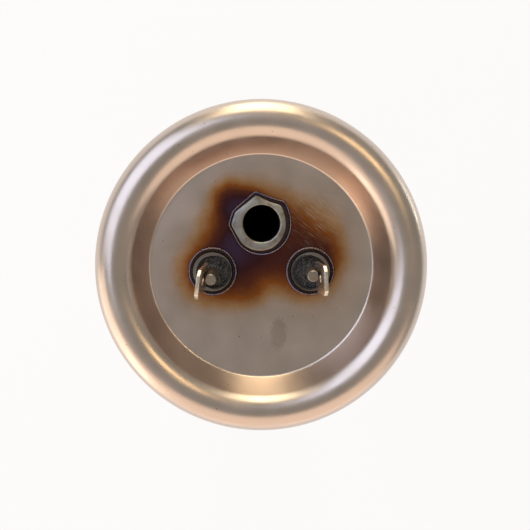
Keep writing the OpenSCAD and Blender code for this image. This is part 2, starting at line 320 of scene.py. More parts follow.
def pressed_stainless():
    """Austenitic stainless sheet, cold rolled and deep drawn: satin, with draw lines up the rim and oxide colours round the welds."""
    material, tree, shader, place = finish("Pressed stainless sheet")
    colour, heat = tint_of(tree, place)
    flat = vectors(tree, "MULTIPLY", place, (1, 1, 0))
    outwards = vectors(tree, "NORMALIZE", flat)
    away = add(tree, "ShaderNodeVectorMath", {"operation": "LENGTH"}, {0: flat}).outputs["Value"]
    on_rim = spread(tree, away, 24.0, 26.5)
    # Draw lines run up the wall and over the rim, about 0.35 mm apart
    across = add(tree, "ShaderNodeVectorMath", {"operation": "SCALE"}, {0: outwards, "Scale": 36.0}).outputs[0]
    up = add(tree, "ShaderNodeCombineXYZ", {}, {"Z": maths(tree, "MULTIPLY", away, 0.12)}).outputs[0]
    drawn = grain(tree, vectors(tree, "ADD", across, up), 0.35, 3.0, 0.6)
    # Tool marks run round the rim, about 0.25 mm apart
    height = add(tree, "ShaderNodeSeparateXYZ", {}, {0: place}).outputs["Z"]
    section = add(tree, "ShaderNodeCombineXYZ", {}, {"X": away, "Y": height}).outputs[0]
    slow = add(tree, "ShaderNodeVectorMath", {"operation": "SCALE"}, {0: outwards, "Scale": 1.2}).outputs[0]
    turned = grain(tree, vectors(tree, "ADD", section, slow), 0.25, 2.0)
    # Rolled sheet: faint streaks along the rolling direction
    rolled = streaks(tree, place, math.radians(-38), 0.22, 6.0, 3.0)
    # Bright streaks over the tint beside the pocket, along the rolling lines: painted highlight, laid on the sheet's
    # own streaks
    painted_highlight_streaks = spread(tree, streaks(tree, place, math.radians(-38), 0.16, 3.2, 1.0), 0.56, 0.68)
    painted_highlight_streaks = maths(tree, "MULTIPLY", painted_highlight_streaks, maths(tree, "MULTIPLY", spot(tree, flat, (13.0, 13.0, 0), 7.0), 0.55))
    # Fine soot specks and pits
    cells = add(tree, "ShaderNodeTexVoronoi", {}, {"Vector": place, "Scale": 0.42})
    chosen = maths(tree, "GREATER_THAN", add(tree, "ShaderNodeSeparateColor", {}, {0: cells.outputs["Color"]}).outputs[0], 0.72)
    specks = maths(tree, "MULTIPLY", spread(tree, cells.outputs["Distance"], 0.075, 0.03), chosen)
    patches = grain(tree, place, 7.0, 4.0)
    # A rubbed, soiled patch below the terminals
    rubbed = add(tree, "ShaderNodeVectorMath", {"operation": "DISTANCE"}, {0: vectors(tree, "MULTIPLY", flat, (1, 0.52, 1)), 1: (3.8, -7.8, 0)}).outputs["Value"]
    rubbed = maths(tree, "ADD", rubbed, maths(tree, "MULTIPLY", grain(tree, place, 0.8, 3.0), 1.6))
    rubbed = spread(tree, rubbed, 3.0, 2.2, 0.0, 0.42)
    bare = bpy.context.scene.heater_finishes.bare_steel
    steel = blended(tree, 1.0, colour, (*[c / 0.6 for c in bare], 1), "MULTIPLY")
    # Painted highlight: bright streaks beside the pocket
    steel = blended(tree, painted_highlight_streaks, steel, rgb("#E4D3C4"))
    steel = blended(tree, maths(tree, "MULTIPLY", specks, 0.75), steel, rgb("#3A322E"))
    steel = blended(tree, rubbed, steel, rgb("#4A3A33"))
    rough = maths(tree, "ADD", spread(tree, patches, 0.3, 0.7, 0.27, 0.36), maths(tree, "MULTIPLY", rubbed, 0.3))
    relief = maths(tree, "ADD", maths(tree, "MULTIPLY", drawn, on_rim), maths(tree, "MULTIPLY", turned, 0.5))
    normal = bump(tree, relief, 0.006, bump(tree, rolled, 0.004))
    wire(tree, shader, Base_Color=steel, Metallic=1.0, Roughness=rough, Normal=normal)
    return material


def bright_tube():
    """Stainless tube, drawn and annealed: greyer than the sheet, with fine lines along its length and some oxide near the welds."""
    material, tree, shader, place = finish("Drawn stainless tube")
    lines = add(tree, "ShaderNodeMapping", {"vector_type": "TEXTURE"}, {"Vector": place, "Scale": (0.3, 0.3, 25.0)}).outputs[0]
    lines = add(tree, "ShaderNodeTexNoise", {}, {"Vector": lines, "Scale": 1.0, "Detail": 3.0}).outputs["Fac"]
    clouds = grain(tree, place, 11.0, 4.0)
    height = add(tree, "ShaderNodeSeparateXYZ", {}, {0: place}).outputs["Z"]
    near_weld = spread(tree, height, -22.0, -3.0)
    steel = blended(tree, spread(tree, clouds, 0.35, 0.7), rgb("#B4B2AE"), rgb("#9C9892"))
    steel = blended(tree, maths(tree, "MULTIPLY", near_weld, spread(tree, clouds, 0.3, 0.6, 0.25, 0.7)), steel, rgb("#7A6458"))
    wire(tree, shader, Base_Color=steel, Metallic=1.0, Roughness=spread(tree, clouds, 0.3, 0.7, 0.24, 0.36), Normal=bump(tree, lines, 0.006))
    return material


def collar_steel():
    """Turned stainless collar, dulled by the weld: satin grey with rings left by the cutter, and darker towards its
    outer margin, partly weld oxide and partly painted shade where it drops to the bead.
    """
    material, tree, shader, place = finish("Turned stainless collar")
    centred = vectors(tree, "MULTIPLY", vectors(tree, "SUBTRACT", place, tuple(POCKET)), (1, 1, 0))
    away = add(tree, "ShaderNodeVectorMath", {"operation": "LENGTH"}, {0: centred}).outputs["Value"]
    rings = grain(tree, add(tree, "ShaderNodeCombineXYZ", {}, {"X": away}).outputs[0], 0.16, 2.0)
    mottle = grain(tree, place, 0.55, 4.0, 0.6)
    stain = spread(tree, grain(tree, place, 2.4, 3.0), 0.46, 0.68)
    # Darker towards the outer margin, where the face drops to the bead: weld oxide and painted shade
    edge = spread(tree, away, 5.0, 6.0, 0.0, 0.55)
    steel = blended(tree, stain, rgb("#A5A39C"), rgb("#8D8173"))
    steel = blended(tree, edge, steel, rgb("#5A4F4C"))
    relief = maths(tree, "ADD", maths(tree, "MULTIPLY", rings, 0.4), mottle)
    wire(tree, shader, Base_Color=steel, Metallic=1.0, Roughness=spread(tree, mottle, 0.3, 0.7, 0.34, 0.48), Normal=bump(tree, relief, 0.03))
    return material


def dark_bore():
    """Bore painted blue-black and matt: painted shade of the deep hole, faintly mottled."""
    material, tree, shader, place = finish("Bore painted dark for shade")
    bore_mottle = grain(tree, place, 0.7, 3.0)
    # Near-black base colour: painted shade inside the deep bore
    wire(tree, shader, Base_Color=blended(tree, bore_mottle, rgb("#0B1420"), rgb("#05080D")), Metallic=0.0, Roughness=0.75, Normal=bump(tree, bore_mottle, 0.03))
    shader.inputs["Specular IOR Level"].default_value = 0.15
    return material


def weld_metal():
    """Fused stainless weld metal: smooth, with brown and violet oxide that follows the heat."""
    material, tree, shader, place = finish("Oxidised weld metal")
    mottle = grain(tree, place, 0.8, 4.0)
    violet = spread(tree, grain(tree, place, 2.6, 2.0), 0.42, 0.62)
    steel = blended(tree, violet, rgb("#7C6C66"), rgb("#6A6680"))
    steel = blended(tree, spread(tree, mottle, 0.5, 0.75, 0.0, 0.6), steel, rgb("#4B3632"))
    wire(tree, shader, Base_Color=steel, Metallic=1.0, Roughness=spread(tree, mottle, 0.3, 0.7, 0.18, 0.32), Normal=bump(tree, mottle, 0.02))
    return material


def weld_root():
    """Root of the weld between the bead and the tube: dark brown, partly oxide scale and partly painted shade of the
    groove.
    """
    material, tree, shader, place = finish("Weld root, oxide and painted shade")
    mottle = grain(tree, place, 0.5, 4.0)
    wire(tree, shader, Base_Color=blended(tree, mottle, rgb("#4A3A36"), rgb("#2C2222")), Metallic=1.0, Roughness=0.38, Normal=bump(tree, mottle, 0.03))
    return material


def pin_steel():
    """Mild steel pin, sheared at the end and dulled by welding: mottled grey with straw patches."""
    material, tree, shader, place = finish("Sheared steel pin")
    mottle = grain(tree, place, 0.45, 4.0, 0.65)
    patches = spread(tree, grain(tree, place, 1.4, 2.0), 0.45, 0.65)
    steel = blended(tree, mottle, rgb("#75706C"), rgb("#A9A298"))
    steel = blended(tree, maths(tree, "MULTIPLY", patches, 0.5), steel, rgb("#A08C6E"))
    wire(tree, shader, Base_Color=steel, Metallic=1.0, Roughness=spread(tree, mottle, 0.3, 0.7, 0.34, 0.52), Normal=bump(tree, mottle, 0.05))
    return material


def plated_blade():
    """Brass blade under bright nickel: warm white, with fine lines from the strip it was cut from and duller patches.
    """
    material, tree, shader, place = finish("Nickel-plated brass blade")
    lines = add(tree, "ShaderNodeMapping", {"vector_type": "TEXTURE"}, {"Vector": place, "Scale": (0.09, 0.09, 3.5)}).outputs[0]
    lines = add(tree, "ShaderNodeTexNoise", {}, {"Vector": lines, "Scale": 1.0, "Detail": 2.0}).outputs["Fac"]
    dull = spread(tree, grain(tree, place, 1.6, 3.0), 0.4, 0.7)
    bright = (*bpy.context.scene.heater_finishes.blade, 1)
    steel = blended(tree, maths(tree, "MULTIPLY", dull, 0.5), bright, rgb("#B9A488"))
    wire(tree, shader, Base_Color=steel, Metallic=1.0, Roughness=spread(tree, lines, 0.3, 0.7, 0.24, 0.38), Normal=bump(tree, lines, 0.012))
    return material


def sealing_resin():
    """Black epoxy resin, poured and crusted: wet gloss over small lumps."""
    material, tree, shader, place = finish("Black sealing resin")
    crust = grain(tree, place, 0.5, 3.0, 0.6)
    dust = spread(tree, grain(tree, place, 0.9, 4.0), 0.58, 0.72, 0.0, 0.4)
    black = (*bpy.context.scene.heater_finishes.resin, 1)
    wire(tree, shader, Base_Color=blended(tree, dust, black, rgb("#4A4644")), Roughness=spread(tree, crust, 0.3, 0.7, 0.07, 0.2), Normal=bump(tree, crust, 0.14))
    return material


def resistance_wire():
    """Nickel-chromium wire, fired: dark grey oxide with a green cast."""
    material, tree, shader, place = finish("Fired resistance wire")
    scale = grain(tree, place, 0.3, 3.0)
    wire(tree, shader, Base_Color=blended(tree, scale, rgb("#5C5B55"), rgb("#7D7A74")), Metallic=1.0, Roughness=0.5, Normal=bump(tree, scale, 0.01))
    return material


def packed_magnesia():
    """Magnesium oxide powder, packed hard: chalky off-white grit."""
    material, tree, shader, place = finish("Packed magnesia")
    grit = grain(tree, place, 0.25, 3.0)
    wire(tree, shader, Base_Color=blended(tree, grit, rgb("#E6E1D6"), rgb("#F2EEE6")), Roughness=0.9, Normal=bump(tree, grit, 0.04))
    return material


# Meshes


def ringed(name, rings, closed=False):
    """Skin over rings of equally many points; a ring of one place is a pole, and closed joins the last ring to the first."""
    bm = bmesh.new()
    made = [[bm.verts.new(Vector(p) * MM) for p in ring] for ring in rings]
    pairs = list(zip(made, made[1:])) + ([(made[-1], made[0])] if closed else [])
    for low, high in pairs:
        for i in range(len(low)):
            j = (i + 1) % len(low)
            bm.faces.new((low[i], low[j], high[j], high[i]))
    bmesh.ops.remove_doubles(bm, verts=bm.verts, dist=1e-7)
    bmesh.ops.dissolve_degenerate(bm, dist=1e-8, edges=bm.edges)
    bmesh.ops.recalc_face_normals(bm, faces=bm.faces)
    return placed(name, bm)


def placed(name, bm, smooth_below=35):
    """Object at the origin that holds a bmesh, with edges sharp past an angle."""
    mesh = bpy.data.meshes.new(name)
    bm.to_mesh(mesh)
    bm.free()
    piece = bpy.data.objects.new(name, mesh)
    bpy.context.scene.collection.objects.link(piece)
    shade(piece, smooth_below)
    return piece


def shade(piece, smooth_below):
    """Smooth shading, with edges sharp past an angle in degrees."""
    piece.data.shade_smooth()
    piece.data.set_sharp_from_angle(angle=math.radians(smooth_below))


def polyline(name, points, closed):
    """Object whose mesh is only the edges through some points, in millimetres."""
    mesh = bpy.data.meshes.new(name)
    edges = [(i, i + 1) for i in range(len(points) - 1)] + ([(len(points) - 1, 0)] if closed else [])
    mesh.from_pydata([Vector(p) * MM for p in points], edges, [])
    piece = bpy.data.objects.new(name, mesh)
    bpy.context.scene.collection.objects.link(piece)
    return piece


def made_mesh(piece, tree, values):
    """Runs a Geometry Nodes tree on an object and keeps the result as the object's plain mesh."""
    modifier = piece.modifiers.new(tree.name, "NODES")
    modifier.node_group = tree
    for item in tree.interface.items_tree:
        if item.name in values:
            modifier[item.identifier] = values[item.name]
    depsgraph = bpy.context.evaluated_depsgraph_get()
    mesh = bpy.data.meshes.new_from_object(piece.evaluated_get(depsgraph), depsgraph=depsgraph)
    piece.modifiers.clear()
    piece.data = mesh
    mesh.name = piece.name
    return piece


def stands_for(piece, node, slot, *materials):
    """Rides a finished piece on the part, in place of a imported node."""
    for material in materials:
        piece.data.materials.append(material)
    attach(piece, BODY)
    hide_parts(node)
    return piece


def finish_node(node, material):
    """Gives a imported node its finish."""
    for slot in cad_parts[node].material_slots:
        slot.material = material


def circle(x, y, z, radius, steps=96):
    """Points of a level circle."""
    return [(x + radius * math.cos(2 * math.pi * i / steps), y + radius * math.sin(2 * math.pi * i / steps), z) for i in range(steps)]


def arc(x, z, radius, start, end, steps):
    """Points of an arc in the half section, between two directions in degrees."""
    turns = [math.radians(start + (end - start) * i / steps) for i in range(steps + 1)]
    return [(x + radius * math.cos(a), 0, z + radius * math.sin(a)) for a in turns]


# Geometry Nodes


def interface(name, inputs):
    """New Geometry Nodes tree with named inputs, and its group input node."""
    tree = bpy.data.node_groups.new(name, "GeometryNodeTree")
    tree.interface.new_socket("Geometry", in_out="OUTPUT", socket_type="NodeSocketGeometry")
    for label, kind, value in inputs:
        socket = tree.interface.new_socket(label, in_out="INPUT", socket_type=f"NodeSocket{kind}")
        if value is not None:
            socket.default_value = value
    return tree, add(tree, "NodeGroupInput").outputs


def close(tree, geometry, material):
    """Ends a tree: real geometry, smooth, with its material."""
    real = add(tree, "GeometryNodeRealizeInstances", {}, {"Geometry": geometry}).outputs[0]
    smooth = add(tree, "GeometryNodeSetShadeSmooth", {}, {"Geometry": real}).outputs[0]
    painted = add(tree, "GeometryNodeSetMaterial", {}, {"Geometry": smooth, "Material": material}).outputs[0]
    add(tree, "NodeGroupOutput", {}, {0: painted})


def pressed_flange_tree():
    """Turns the rim's half section about Z and closes it with a plate that has three round holes."""
    tree, given = interface("Pressed flange", [
        ("Half Section", "Geometry", None),
        ("Steps", "Int", 288),
        ("Plate Radius", "Float", 23 * MM),
        ("Sheet", "Float", 1.5 * MM),
        ("Tube Hole", "Float", 4.3 * MM),
        ("Left Tube", "Vector", (0, 0, 0)),
        ("Right Tube", "Vector", (0, 0, 0)),
        ("Pocket Hole", "Float", 5.05 * MM),
        ("Pocket", "Vector", (0, 0, 0)),
        ("Unevenness", "Float", 0.03 * MM),
        ("Seed", "Float", 7.0),
        ("Material", "Material", None),
    ])
    size = add(tree, "GeometryNodeAttributeDomainSize", {}, {"Geometry": given["Half Section"]}).outputs["Point Count"]
    grid = add(tree, "GeometryNodeMeshGrid", {}, {"Vertices X": maths(tree, "ADD", given["Steps"], 1.0), "Vertices Y": size}).outputs["Mesh"]
    index = add(tree, "GeometryNodeInputIndex").outputs[0]
    column = maths(tree, "FLOOR", maths(tree, "DIVIDE", maths(tree, "ADD", index, 0.5), size))
    row = maths(tree, "SUBTRACT", index, maths(tree, "MULTIPLY", column, size))
    here = add(tree, "GeometryNodeInputPosition").outputs[0]
    section = add(tree, "GeometryNodeSampleIndex", {"data_type": "FLOAT_VECTOR"}, {"Geometry": given["Half Section"], "Value": here, "Index": row}).outputs[0]
    parts = add(tree, "ShaderNodeSeparateXYZ", {}, {0: section}).outputs
    turn = maths(tree, "MULTIPLY", maths(tree, "DIVIDE", column, given["Steps"]), 2 * math.pi)
    round_place = add(tree, "ShaderNodeCombineXYZ", {}, {
        "X": maths(tree, "MULTIPLY", parts["X"], maths(tree, "COSINE", turn)),
        "Y": maths(tree, "MULTIPLY", parts["X"], maths(tree, "SINE", turn)),
        "Z": parts["Z"],
    }).outputs[0]
    inside_out = add(tree, "GeometryNodeSetPosition", {}, {"Geometry": grid, "Position": round_place}).outputs[0]
    rim = add(tree, "GeometryNodeFlipFaces", {}, {"Mesh": inside_out}).outputs[0]
    # The plate: one filled outline with three holes, as thick as the sheet
    outlines = [add(tree, "GeometryNodeCurvePrimitiveCircle", {}, {"Resolution": given["Steps"], "Radius": given["Plate Radius"]}).outputs[0]]
    for radius, centre in (("Tube Hole", "Left Tube"), ("Tube Hole", "Right Tube"), ("Pocket Hole", "Pocket")):
        hole = add(tree, "GeometryNodeCurvePrimitiveCircle", {}, {"Resolution": 96, "Radius": given[radius]}).outputs[0]
        outlines.append(add(tree, "GeometryNodeTransform", {}, {"Geometry": hole, "Translation": given[centre]}).outputs[0])
    joined = add(tree, "GeometryNodeJoinGeometry")
    for outline in outlines:
        tree.links.new(outline, joined.inputs[0])
    filled = add(tree, "GeometryNodeFillCurve", {}, {"Curve": joined.outputs[0]}).outputs[0]
    down = add(tree, "ShaderNodeCombineXYZ", {}, {"Z": maths(tree, "MULTIPLY", given["Sheet"], -1.0)}).outputs[0]
    wet_face = add(tree, "GeometryNodeTransform", {}, {"Geometry": filled, "Translation": down}).outputs[0]
    raised = add(tree, "GeometryNodeExtrudeMesh", {}, {"Mesh": wet_face, "Offset": (0, 0, 1), "Offset Scale": given["Sheet"], "Individual": False})
    # The plate's own outer wall goes, because the rim carries on there
    radius_here = add(tree, "ShaderNodeVectorMath", {"operation": "LENGTH"}, {0: vectors(tree, "MULTIPLY", here, (1, 1, 0))}).outputs["Value"]
    outer = maths(tree, "GREATER_THAN", radius_here, maths(tree, "SUBTRACT", given["Plate Radius"], 0.2 * MM))
    seam = add(tree, "FunctionNodeBooleanMath", {"operation": "AND"}, {0: raised.outputs["Side"], 1: outer}).outputs[0]
    plate = add(tree, "GeometryNodeDeleteGeometry", {"domain": "FACE"}, {"Geometry": raised.outputs["Mesh"], "Selection": seam}).outputs[0]
    turned_over = add(tree, "GeometryNodeFlipFaces", {}, {"Mesh": wet_face}).outputs[0]
    whole = add(tree, "GeometryNodeJoinGeometry")
    for part in (rim, plate, turned_over):
        tree.links.new(part, whole.inputs[0])
    welded = add(tree, "GeometryNodeMergeByDistance", {}, {"Geometry": whole.outputs[0], "Distance": 2e-6}).outputs[0]
    # Pressing leaves the wall and the rim slightly uneven
    wander = add(tree, "ShaderNodeTexNoise", {"noise_dimensions": "4D"}, {"Vector": here, "W": given["Seed"], "Scale": 70.0, "Detail": 1.0}).outputs["Fac"]
    amount = maths(tree, "MULTIPLY", maths(tree, "SUBTRACT", wander, 0.5), given["Unevenness"])
    amount = maths(tree, "MULTIPLY", amount, spread(tree, radius_here, 24 * MM, 28 * MM))
    away = add(tree, "ShaderNodeVectorMath", {"operation": "SCALE"}, {0: add(tree, "GeometryNodeInputNormal").outputs[0], "Scale": amount}).outputs[0]
    shaped = add(tree, "GeometryNodeSetPosition", {}, {"Geometry": welded, "Offset": away}).outputs[0]
    close(tree, shaped, given["Material"])
    return tree


def weld_bead_tree():
    """Sweeps a rippled, rounded bead along a closed path."""
    tree, given = interface("Weld bead", [
        ("Path", "Geometry", None),
        ("Width", "Float", 0.9 * MM),
        ("Height", "Float", 0.7 * MM),
        ("Ripple Spacing", "Float", 0.55 * MM),
        ("Ripple Depth", "Float", 0.05),
        ("Wander", "Float", 0.1 * MM),
        ("Seed", "Float", 3.0),
        ("Material", "Material", None),
    ])
    line = add(tree, "GeometryNodeMeshToCurve", {}, {"Mesh": given["Path"]}).outputs[0]
    line = add(tree, "GeometryNodeResampleCurve", {}, {"Curve": line, "Count": 420}).outputs[0]
    here = add(tree, "GeometryNodeInputPosition").outputs[0]
    wander = add(tree, "ShaderNodeTexNoise", {"noise_dimensions": "4D"}, {"Vector": here, "W": given["Seed"], "Scale": 420.0, "Detail": 1.0}).outputs["Color"]
    shift = vectors(tree, "MULTIPLY", vectors(tree, "SUBTRACT", wander, (0.5, 0.5, 0.5)), (1, 1, 0))
    shift = add(tree, "ShaderNodeVectorMath", {"operation": "SCALE"}, {0: shift, "Scale": maths(tree, "MULTIPLY", given["Wander"], 2.0)}).outputs[0]
    line = add(tree, "GeometryNodeSetPosition", {}, {"Geometry": line, "Offset": shift}).outputs[0]
    line = add(tree, "GeometryNodeSetCurveNormal", {"mode": "Z_UP"}, {"Curve": line}).outputs[0]
    run = add(tree, "GeometryNodeSplineParameter").outputs["Length"]
    wave = maths(tree, "SINE", maths(tree, "MULTIPLY", maths(tree, "DIVIDE", run, given["Ripple Spacing"]), 2 * math.pi))
    lump = add(tree, "ShaderNodeTexNoise", {"noise_dimensions": "4D"}, {"Vector": here, "W": given["Seed"], "Scale": 900.0, "Detail": 1.0}).outputs["Fac"]
    girth = maths(tree, "ADD", maths(tree, "MULTIPLY_ADD", wave, given["Ripple Depth"], 1.0), maths(tree, "MULTIPLY", maths(tree, "SUBTRACT", lump, 0.5), 0.35))
    ring = add(tree, "GeometryNodeCurvePrimitiveCircle", {}, {"Resolution": 20, "Radius": 0.5}).outputs[0]
    shape = add(tree, "ShaderNodeCombineXYZ", {}, {"X": given["Width"], "Y": maths(tree, "MULTIPLY", given["Height"], 2.0), "Z": 1.0}).outputs[0]
    ring = add(tree, "GeometryNodeTransform", {}, {"Geometry": ring, "Scale": shape}).outputs[0]
    bead = add(tree, "GeometryNodeCurveToMesh", {}, {"Curve": line, "Profile Curve": ring, "Scale": girth}).outputs[0]
    close(tree, bead, given["Material"])
    return tree


def bead(name, path, material, width, height, wander=0.1, seed=3.0):
    """Weld bead along a closed path; sizes in millimetres."""
    tree = bpy.data.node_groups.get("Weld bead") or weld_bead_tree()
    sizes = bpy.context.scene.heater_welds
    return made_mesh(polyline(name, path, True), tree, {
        "Width": width * MM,
        "Height": height * MM,
        "Ripple Spacing": sizes.ripple_spacing,
        "Ripple Depth": sizes.ripple_depth,
        "Wander": wander * MM,
        "Seed": seed,
        "Material": material,
    })


def joined(name, pieces):
    """One object out of several plain meshes."""
    with bpy.context.temp_override(active_object=pieces[0], selected_editable_objects=pieces, selected_objects=pieces):
        bpy.ops.object.join()
    pieces[0].name = pieces[0].data.name = name
    return pieces[0]


# Pieces


class HEATER_OT_flange(Operator):
    """Build the pressed flange: plate, dish wall, rolled rim and skirt"""

    bl_idname = "heater.flange"
    bl_label = "Flange"

    def execute(self, context):
        s = context.scene.heater_flange
        outer, rim, crease, sheet = s.outer_radius / MM, s.rim_radius / MM, s.crease_radius / MM, s.sheet / MM
        skirt, angle = s.skirt / MM, math.degrees(s.wall_angle)
        crown_x, crown_z = outer - rim, s.depth / MM - rim
        rise = crown_z + rim * math.cos(s.wall_angle) - crease * (1 - math.cos(s.wall_angle))
        crease_x = crown_x - (rim + crease) * math.sin(s.wall_angle) - rise / math.tan(s.wall_angle)
        plate = crease_x - 1.2
        edge = 0.25
        dry = [(plate, 0, 0), (plate + 0.6, 0, 0)]
        dry += arc(crease_x, crease, crease, -90, angle - 90, 12)
        dry += arc(crown_x, crown_z, rim, 90 + angle, 0, 90)
        foot = arc(outer - edge, edge - skirt, edge, 0, -90, 5) + arc(outer - sheet + edge, edge - skirt, edge, -90, -180, 5)
        wet = arc(crown_x, crown_z, rim - sheet, 0, 90 + angle, 60)
        wet += arc(crease_x, crease, crease + sheet, angle - 90, -90, 12)
        wet += [(plate + 0.6, 0, -sheet), (plate, 0, -sheet)]
        piece = made_mesh(polyline("flange_sheet", dry + foot + wet, False), pressed_flange_tree(), {
            "Steps": s.steps,
            "Plate Radius": plate * MM,
            "Sheet": s.sheet,
            "Tube Hole": 4.3 * MM,
            "Left Tube": (LEG["left"].x * MM, LEG["left"].y * MM, 0),
            "Right Tube": (LEG["right"].x * MM, LEG["right"].y * MM, 0),
            "Pocket Hole": 5.05 * MM,
            "Pocket": (POCKET.x * MM, POCKET.y * MM, 0),
            "Unevenness": s.unevenness,
            "Seed": 7.0,
            "Material": pressed_stainless(),
        })
        shade(piece, 35)
        stands_for(piece, "flange_plate", "stainless_sheet")
        return {"FINISHED"}


class HEATER_OT_tube(Operator):
    """Finish the heating tube, its powder and its coil"""

    bl_idname = "heater.tube"
    bl_label = "Heating tube"

    def execute(self, context):
        finish_node("heater_sheath", bright_tube())
        finish_node("magnesia_fill", packed_magnesia())
        finish_node("heating_coil", resistance_wire())
        return {"FINISHED"}


# Outline of the bead round the pocket: direction in degrees, distance in mm, and whether a straight stretch follows
POCKET_OUTLINE = [
    (43.8, 7.15, True), (71.0, 6.25, True), (101.0, 7.35, True), (131.0, 6.4, True), (156.0, 7.05, True), (182.0, 7.4, True),
    (207.0, 6.72, True), (222.0, 6.9, False), (245.0, 6.98, False), (270.0, 7.05, False), (300.0, 6.98, False),
    (330.0, 6.8, False), (360.0, 6.7, False), (382.0, 6.8, False),
]


def pocket_outline(direction):
    """Distance of the bead's outer edge from the pocket's axis."""
    direction = (direction - 43.8) % 360 + 43.8
    ends = POCKET_OUTLINE + [(403.8, 7.15, True)]
    for (a, near, straight), (b, far, _) in zip(ends, ends[1:]):
        if a <= direction <= b:
            if not straight:
                return near + (far - near) * (direction - a) / (b - a)
            p = Vector((near * math.cos(math.radians(a)), near * math.sin(math.radians(a))))
            q = Vector((far * math.cos(math.radians(b)), far * math.sin(math.radians(b))))
            ray = Vector((math.cos(math.radians(direction)), math.sin(math.radians(direction))))
            side = q - p
            return (p.x * side.y - p.y * side.x) / (ray.x * side.y - ray.y * side.x)
    return near


def round_pocket(inset, steps=180, z=0.0):
    """Points round the pocket, inset from the bead's outer edge by a function of the direction, with its corners softened."""
    reach = [pocket_outline(360 * i / steps) - inset(360 * i / steps) for i in range(steps)]
    for _ in range(3):
        reach = [(reach[i - 1] + 2 * reach[i] + reach[(i + 1) % steps]) / 4 for i in range(steps)]
    turns = [2 * math.pi * i / steps for i in range(steps)]
    return [(POCKET.x + r * math.cos(a), POCKET.y + r * math.sin(a), z) for r, a in zip(reach, turns)]


def to_left(direction):
    """1 towards the left terminal's side of the pocket, 0 towards the other."""
    return (1 - math.cos(math.radians(direction))) / 2


class HEATER_OT_pocket(Operator):
    """Build the sensor pocket: its collar, its tube and its dark bore"""

    bl_idname = "heater.pocket"
    bl_label = "Sensor pocket"

    def execute(self, context):
        bore, outer = 4.0, 5.0
        x, y = POCKET.x, POCKET.y
        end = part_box("sensor_pocket")[0].z / MM + outer
        steps = 180
        face = lambda d: 1.35 - 0.62 * to_left(d)
        rings = [circle(x, y, end + bore * math.sin(math.radians(a)), bore * math.cos(math.radians(a)), steps) for a in range(-90, 1, 6)]
        rings += [circle(x, y, z, bore, steps) for z in (-200, -100, -40, -12, -4, -1, 0.5)]
        rings += [circle(x, y, 0.72, bore + 0.03, steps), circle(x, y, 0.88, bore + 0.14, steps), circle(x, y, 0.96, bore + 0.32, steps)]
        bore_rings = len(rings) - 2
        rings += [circle(x - 0.05, y, 0.97, bore + 0.6, steps)]
        rings += [round_pocket(lambda d: face(d) + 0.5, steps, 0.9), round_pocket(lambda d: face(d) + 0.18, steps, 0.84)]
        rings += [round_pocket(lambda d: face(d) + 0.04, steps, 0.72), round_pocket(face, steps, 0.5), round_pocket(face, steps, 0.02)]
        rings += [circle(x, y, z, outer, steps) for z in (0.0, -2, -20, -80, -160, -240, end)]
        rings += [circle(x, y, end - outer * math.sin(math.radians(a)), outer * math.cos(math.radians(a)), steps) for a in range(6, 91, 6)]
        piece = ringed("pocket_tube", rings)
        stands_for(piece, "sensor_pocket", "stainless_tube", bright_tube(), collar_steel(), dark_bore())
        # Faces inside the bore take the near-black finish, a painted shade; the top faces outside it take the collar's
        # finish
        for face_ in piece.data.polygons:
            off = Vector((face_.center.x / MM - x, face_.center.y / MM - y)).length
            if off < bore + 0.05:
                face_.material_index = 2
            elif face_.center.z > -0.5 * MM:
                face_.material_index = 1
        return {"FINISHED"}


class HEATER_OT_welds(Operator):
    """Build the weld beads round both mouths of the tube and round the pocket"""

    bl_idname = "heater.welds"
    bl_label = "Weld beads"

    def execute(self, context):
        s = context.scene.heater_welds
        # root: dark brown finish for the grooves beside the beads, partly oxide and partly painted shade
        ridge, root = weld_metal(), weld_root()
        width, height = s.ridge_width / MM, s.ridge_height / MM
        for side, seed in (("left", 3.0), ("right", 11.0)):
            x, y = LEG[side].x, LEG[side].y
            ring = s.tube_ring / MM
            parts = [
                bead(f"weld_{side}", circle(x, y, 0, ring, 120), ridge, width, height, 0.08, seed),
                bead(f"weld_{side}_root", circle(x, y, 0, ring - 0.45, 120), root, 1.0, 0.42, 0.05, seed + 1),
            ]
            stands_for(joined(f"weld_{side}", parts), f"weld_bead_{side}", "weld")
        parts = [
            bead("weld_pocket", round_pocket(lambda d: 0.3), ridge, 0.62, 0.85, 0.04, 5.0),
            bead("weld_pocket_root", round_pocket(lambda d: 0.85 - 0.15 * to_left(d)), root, 1.5, 0.45, 0.04, 6.0),
        ]
        stands_for(joined("weld_pocket", parts), "weld_bead_pocket", "weld")
        return {"FINISHED"}


